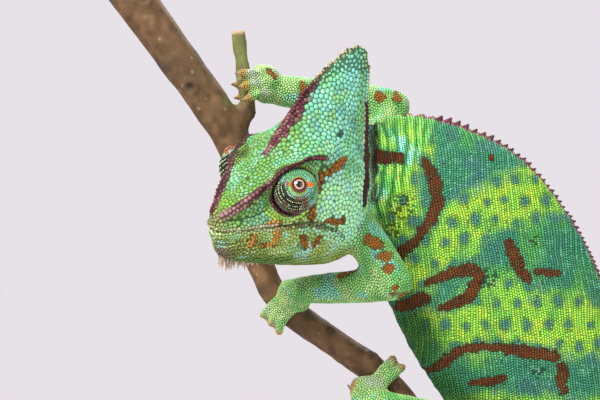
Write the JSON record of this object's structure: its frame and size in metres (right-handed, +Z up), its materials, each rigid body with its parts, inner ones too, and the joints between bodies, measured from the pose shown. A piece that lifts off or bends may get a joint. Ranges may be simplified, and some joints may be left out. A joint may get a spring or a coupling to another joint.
{
  "type": "veiled chameleon on a perch",
  "caption": "Life-size still model of a male veiled chameleon with a tall casque, gripping a cut length of branch that a rod on a flat base holds up.",
  "frame": {"origin": "middle of the part's bounding box, on the surface that the base stands on", "axes": "+Z up; -Y is the side that the animal turns its face and left flank to; its trunk climbs towards -X"},
  "size_m": [0.2038, 0.118, 0.2982],
  "materials": {
    "skin": "matt granular scales, lime green with teal bands, round blue-grey spots and rust bars",
    "throat": "matt, finely wrinkled scales, yellow-green with orange marks",
    "eye": "moist gloss, dark pupil in a narrow pale iris ring",
    "bark": "dull grey-brown bark with small pits and knots",
    "wood": "dark stained wood, satin lacquer",
    "steel": "blackened steel, satin"
  },
  "bodies": {
    "root": {"head": "skin", "lower_jaw": "throat", "eye_turret_left": "skin", "eye_turret_right": "skin", "eyeball_left": "eye", "eyeball_right": "eye", "neck": "skin", "chest": "skin", "belly": "skin", "upper_arm_left": "skin", "forearm_left": "skin", "hand_left": "skin", "upper_arm_right": "skin", "forearm_right": "skin", "hand_right": "skin", "thigh_left": "skin", "shank_left": "skin", "foot_left": "skin", "thigh_right": "skin", "shank_right": "skin", "foot_right": "skin", "tail_base": "skin", "tail_middle": "skin", "tail_tip": "skin", "perch_branch": "bark", "perch_twig": "bark", "stand_base": "wood", "stand_rod": "steel"}
  },
  "joints": []
}
